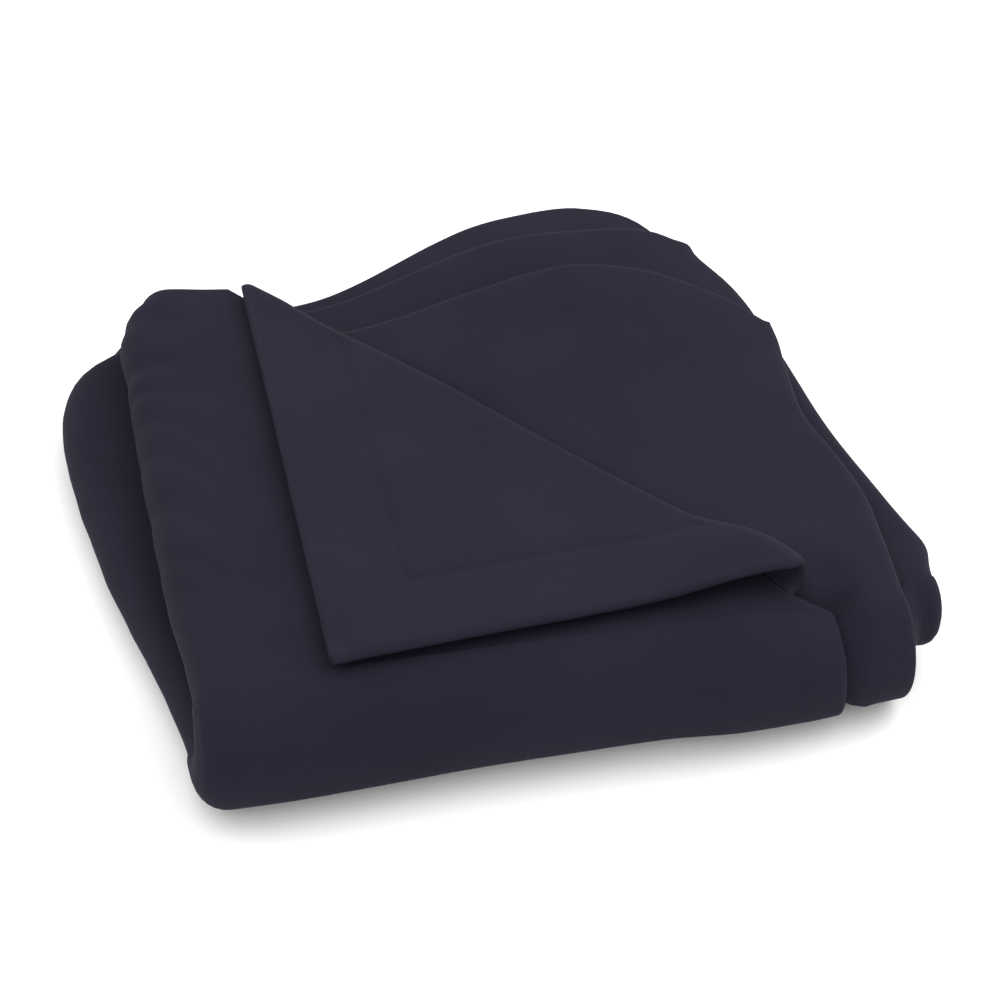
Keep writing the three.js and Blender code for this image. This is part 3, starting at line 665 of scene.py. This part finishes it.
carbon_wire, tree, shader = new_material("braided_carbon_fibre")
in_space = add_node(tree, "ShaderNodeTexCoord").outputs["Object"]
braid = add_node(tree, "ShaderNodeTexWave", {
    "Vector": in_space, "Scale": 80.0, "Distortion": 1.0,
}, bands_direction="DIAGONAL")
shade = add_node(tree, "ShaderNodeValToRGB", {"Fac": braid.outputs["Fac"]})
shade.color_ramp.elements[0].color = linear("#0e0e10")
shade.color_ramp.elements[1].color = linear("#2a2a2e")
tree.links.new(shade.outputs["Color"], shader.inputs["Base Color"])
shader.inputs["Roughness"].default_value = 0.5
can_metal, tree, shader = new_material("tinned_brass_can")
in_space = add_node(tree, "ShaderNodeTexCoord").outputs["Object"]
tarnish = add_node(tree, "ShaderNodeTexNoise", {"Vector": in_space, "Scale": 250.0, "Detail": 2.0})
shade = add_node(tree, "ShaderNodeValToRGB", {"Fac": tarnish.outputs["Fac"]})
shade.color_ramp.elements[0].color = linear("#a59a78")
shade.color_ramp.elements[1].color = linear("#c9bd98")
tree.links.new(shade.outputs["Color"], shader.inputs["Base Color"])
shader.inputs["Metallic"].default_value = 1.0
shader.inputs["Roughness"].default_value = 0.35
for half in ("lower", "upper"):
    for ply in (1, 2, 3, 4):
        wire = carried(f"{half}_heating_wire_{ply}", f"{half}_carbon_wire_{ply}", half, ply, carbon_wire)
    thermistor = carried(f"{half}_temperature_sensor", f"{half}_thermistor", half, 2, coated_wire)
    can = carried(f"{half}_thermal_cutout", f"{half}_cutout_can", half, 2, can_metal)

# ---- Near fold ----
# The same layers where every ply turns down round the near edge, one group of pieces for each ply.
# The lengthwise fold at the left goes round with them and closes the roll's end.
near_rows = np.arange(rows_of["lower"][-1], rows_of["upper"][0] + 1)
TURNS = {  # columns of each group: a ply with the parts of the lengthwise folds at its own height
    "1": (RUN == "one") | ((RUN == "left") & (HEIGHT > 31)),
    "left": (RUN == "left") & (HEIGHT > 14) & (HEIGHT < 35),
    "4": ((RUN == "left") & (HEIGHT < 18)) | (RUN == "four") | ((RUN == "right") & (HEIGHT < 12)),
    "3": ((RUN == "right") & (HEIGHT > 11)) | (RUN == "three") | ((RUN == "inner") & (HEIGHT < 23)),
    "2": ((RUN == "inner") & (HEIGHT > 22)) | (RUN == "two"),
}
MIDDLE_ROW = len(near_rows) // 2
# Rows on each side of the middle where the wadding is cut, so that it opens flat.
SCORED = {"1": 2, "left": 4, "4": 4, "3": 2, "2": 2}


for turn, chosen in TURNS.items():
    columns = np.flatnonzero(chosen & (FROM_END >= HEM))
    rows_below = near_rows[SET_BACK:MIDDLE_ROW + 1 - SCORED[turn]]
    rows_above = near_rows[MIDDLE_ROW + SCORED[turn]:-SET_BACK]
    turned = {}
    for name, part, rows, material, finish in (
        ("cover", "cover", near_rows, outer_cloth, "outer_cloth"),
        ("padding_below", "padding", rows_below, shade_dark_wadding_felt, "wadding"),
        ("lining", "lining", near_rows, reverse_cloth, "reverse_cloth"),
        ("padding_above", "padding", rows_above, shade_dark_wadding_felt, "wadding"),
    ):
        turned[name] = layer(f"near_turn_{turn}_{name}", rows, columns, OFFSETS[part], material)
        if turn != "left":
            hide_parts(f"front_fold_{part}_{turn}")
    if turn in "12":
        edge_columns = np.flatnonzero(chosen & (FROM_END <= HEM))
        turned["edge"] = layer(f"near_turn_{turn}_edge", near_rows, edge_columns, OFFSETS["whole"], hem_cloth_painted_highlight)
    for piece in turned.values():
        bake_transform(piece)

# ---- Turned corner and its diagonal fold ----
# The top ply's far right corner, turned over so that the reverse cloth shows. A row of stitching
# 62 mm inside its hems joins the layers. The fold is pressed flat at its middle and stands open in a
# loop at its near end, where the ply's own thickness shows.
FOLD_LENGTH = np.linalg.norm(FOLD_FAR - FOLD_NEAR)
CORNER_TIP = np.array([-152, -6])
BORDER = 62
LOOP_STEPS = np.linspace(-np.pi / 2, np.pi / 2, 15)
FOLD_COLUMNS = np.concatenate([
    np.array([0, 0.4, 1.2, 2.6, 4.6, 7.2]), np.linspace(11, FOLD_LENGTH - 12, 116),
    FOLD_LENGTH - np.array([9.8, 7, 4.4, 2.2, 0.9, 0]),
])
TO_TIP = np.linspace(0, 0.988, 84)
PRESSED, LOOP_EXTRA = 4.6, 9.6  # the fold's radius where it is pressed, and what the loop adds to it


def along_fold(x, y):
    """How far along the diagonal fold a point lies, from its near end."""
    return (x - FOLD_NEAR[0]) * ALONG_FOLD[0] + (y - FOLD_NEAR[1]) * ALONG_FOLD[1]


def loop_radius(along):
    """The fold's radius: open at its near end, pressed flat along the rest."""
    far_end = 1.2 * ease(along, FOLD_LENGTH - 90, FOLD_LENGTH)
    return PRESSED + LOOP_EXTRA * (1 - ease(along, 4, 104)) + far_end


def hem_distance(x, y, end):
    """Distance from a point of the corner to the hem that runs from its tip to one end of the fold."""
    way = (end - CORNER_TIP) / np.linalg.norm(end - CORNER_TIP)
    return np.abs((x - CORNER_TIP[0]) * way[1] - (y - CORNER_TIP[1]) * way[0])


def ply_one_height(x, y):
    """Height of ply 1's middle surface."""
    return axis_height(x, y) + HEIGHTS[1] * (1 + swell(x, y) - press(x, y))


def corner_height(x, y):
    """Height of the corner's middle surface: it leaves the loop, settles on ply 1, and lifts at its hems."""
    along = along_fold(x, y)
    foot = FOLD_NEAR[0] + along * ALONG_FOLD[0], FOLD_NEAR[1] + along * ALONG_FOLD[1]
    leaves = ply_one_height(*foot) + 2 * loop_radius(along)
    to_hem = np.minimum(hem_distance(x, y, FOLD_NEAR), hem_distance(x, y, FOLD_FAR))
    lies = MID_Z + HEIGHTS[1] + PITCH + 0.8 + 2.6 * (1 - ease(to_hem, 0, 34))
    return leaves + (lies - leaves) * ease(-past_diagonal(x, y), 4, 105)


fold_points = FOLD_NEAR + FOLD_COLUMNS[:, None] * ALONG_FOLD
fold_radius = loop_radius(FOLD_COLUMNS)
loop_base = ply_one_height(*fold_points.T)
loop = np.stack([
    fold_points[:, 0] + AWAY_FROM_TIP[0] * fold_radius * np.cos(LOOP_STEPS)[:, None],
    fold_points[:, 1] + AWAY_FROM_TIP[1] * fold_radius * np.cos(LOOP_STEPS)[:, None],
    loop_base + fold_radius * (1 + np.sin(LOOP_STEPS)[:, None]),
], -1)
corner_plan = fold_points * (1 - TO_TIP[1:, None, None]) + CORNER_TIP * TO_TIP[1:, None, None]
corner = np.concatenate([corner_plan, corner_height(*np.moveaxis(corner_plan, -1, 0))[..., None]], -1)
TURNED = np.concatenate([loop, corner])
TURNED_FACING = outward(TURNED)
TURNED_FACING *= -np.sign(TURNED_FACING[60, 60, 2])  # on the corner itself the outer cloth faces down
loop_edge = np.minimum(0.83 * FOLD_COLUMNS, 0.61 * (FOLD_LENGTH - FOLD_COLUMNS)) * np.ones((len(loop), 1))
to_near_hem = hem_distance(corner_plan[..., 0], corner_plan[..., 1], FOLD_NEAR)
to_left_hem = hem_distance(corner_plan[..., 0], corner_plan[..., 1], FOLD_FAR)
TURNED_EDGE = np.concatenate([loop_edge, np.minimum(to_near_hem, to_left_hem)])
seam = np.minimum(to_near_hem, to_left_hem) - BORDER
SEAM_DEPTH, SEAM_WIDTH = 0.22, 3.4  # share of the thickness that the stitches take, and their reach
pinch = np.concatenate([np.zeros_like(loop_edge), SEAM_DEPTH * np.exp(-(seam / SEAM_WIDTH) ** 2)])
TURNED_FULLNESS = rounded(TURNED_EDGE) * (1 - pinch)
TURNED_UV = TURNED[..., :2] / 1000


def corner_layer(name, rows, columns, offsets, material):
    """One layer of the turned corner or of its fold."""
    grid = np.ix_(rows, columns)
    sides = [
        TURNED[grid] + TURNED_FACING[grid] * (offset * TURNED_FULLNESS[grid])[..., None] for offset in offsets
    ]
    return closed_sheet(name, sides[0], sides[1], TURNED_UV[grid], material)


TIP_ROWS, RIM_COLUMNS = 4, 6  # rows of the grid in the corner's tip, and columns in each hem
loop_rows, all_columns = np.arange(len(loop)), np.arange(len(FOLD_COLUMNS))
corner_rows = np.arange(len(loop) - 1, len(TURNED) - TIP_ROWS + 1)
tip_rows = np.arange(len(TURNED) - TIP_ROWS, len(TURNED))
between_hems = all_columns[RIM_COLUMNS - 1:1 - RIM_COLUMNS]
hem_columns = {"near": all_columns[:RIM_COLUMNS], "left": all_columns[-RIM_COLUMNS:]}
for part, name, material, finish in (
    ("cover", "turned_outer_cloth", outer_cloth, "outer_cloth"),
    ("wadding", "turned_filling", shade_dark_wadding_felt, "wadding"),
    ("foil", "turned_film", foil_film, "foil"),
    ("heating_mat", "turned_mat", scrim, "heating_mat"),
    ("lining", "turned_reverse_cloth", reverse_cloth, "reverse_cloth"),
):
    rows = corner_rows if part in ("cover", "lining") else corner_rows[1:]
    piece = corner_layer(name, rows, between_hems, OFFSETS[part], material)
    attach(piece, "turned_corner")
    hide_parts(f"corner_{part}")
tip = corner_layer("turned_tip_edge", tip_rows, all_columns, OFFSETS["whole"], hem_cloth_painted_highlight)
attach(tip, "turned_corner")
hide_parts("corner_hem")
for side, columns in hem_columns.items():
    edge = corner_layer(f"turned_{side}_edge", corner_rows, columns, OFFSETS["whole"], hem_cloth_painted_highlight)
    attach(edge, "turned_corner")
    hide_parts("corner_hem")
    edge = corner_layer(f"diagonal_{side}_edge", loop_rows, columns, OFFSETS["whole"], hem_cloth_painted_highlight)
    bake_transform(edge)
PADDED_BELOW, PADDED_ABOVE = loop_rows[1:5], loop_rows[9:-1]  # the wadding is cut between them
for name, part, rows, material, finish in (
    ("cover", "cover", loop_rows, outer_cloth, "outer_cloth"),
    ("padding_below", "padding", PADDED_BELOW, shade_dark_wadding_felt, "wadding"),
    ("padding_above", "padding", PADDED_ABOVE, shade_dark_wadding_felt, "wadding"),
    ("lining", "lining", loop_rows, reverse_cloth, "reverse_cloth"),
):
    piece = corner_layer(f"diagonal_fold_{name}", rows, between_hems, OFFSETS[part], material)
    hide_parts(f"corner_fold_{part}")
    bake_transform(piece)

corner_wire, points = fine_copy("corner_heating_wire", "turned_carbon_wire", carbon_wire)
points[:, 2] += corner_height(points[:, 0], points[:, 1]) - (MID_Z + HEIGHTS[1] + PITCH)
lay_down(corner_wire, points)
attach(corner_wire, "turned_corner")
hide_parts("corner_heating_wire")

# ---- Power inlet ----
# A moulded ABS housing with two nickel-plated pins, sewn into the bottom ply's end hem at the back.
# Its fine spark-eroded grain gives it a soft satin look.
abs_plastic, tree, shader = new_material("moulded_abs")
in_space = add_node(tree, "ShaderNodeTexCoord").outputs["Object"]
grain = add_node(tree, "ShaderNodeTexNoise", {"Vector": in_space, "Scale": 1400.0, "Detail": 2.0})
shade = add_node(tree, "ShaderNodeValToRGB", {"Fac": grain.outputs["Fac"]})
shade.color_ramp.elements[0].color = linear("#17171a")
shade.color_ramp.elements[1].color = linear("#232327")
relief = add_node(tree, "ShaderNodeBump", {
    "Height": grain.outputs["Fac"], "Strength": 0.3, "Distance": 0.0001,
})
tree.links.new(shade.outputs["Color"], shader.inputs["Base Color"])
tree.links.new(relief.outputs["Normal"], shader.inputs["Normal"])
shader.inputs["Roughness"].default_value = 0.45
shader.inputs["IOR"].default_value = 1.54
nickel, tree, shader = new_material("nickel_plated_brass")
in_space = add_node(tree, "ShaderNodeTexCoord").outputs["Object"]
polish = add_node(tree, "ShaderNodeTexNoise", {"Vector": in_space, "Scale": 700.0, "Detail": 2.0})
polished = add_node(tree, "ShaderNodeMapRange", {
    "Value": polish.outputs["Fac"], "To Min": 0.18, "To Max": 0.3,
})
tree.links.new(polished.outputs["Result"], shader.inputs["Roughness"])
shader.inputs["Base Color"].default_value = linear("#c9c5ba")
shader.inputs["Metallic"].default_value = 1.0
for node_name, material in (
    ("inlet_housing", abs_plastic), ("inlet_pin_1", nickel), ("inlet_pin_2", nickel),
    ("inlet_lead", coated_wire),
):
    shown = bpy.data.objects[node_name]
    for socket in shown.material_slots:
        socket.material = material
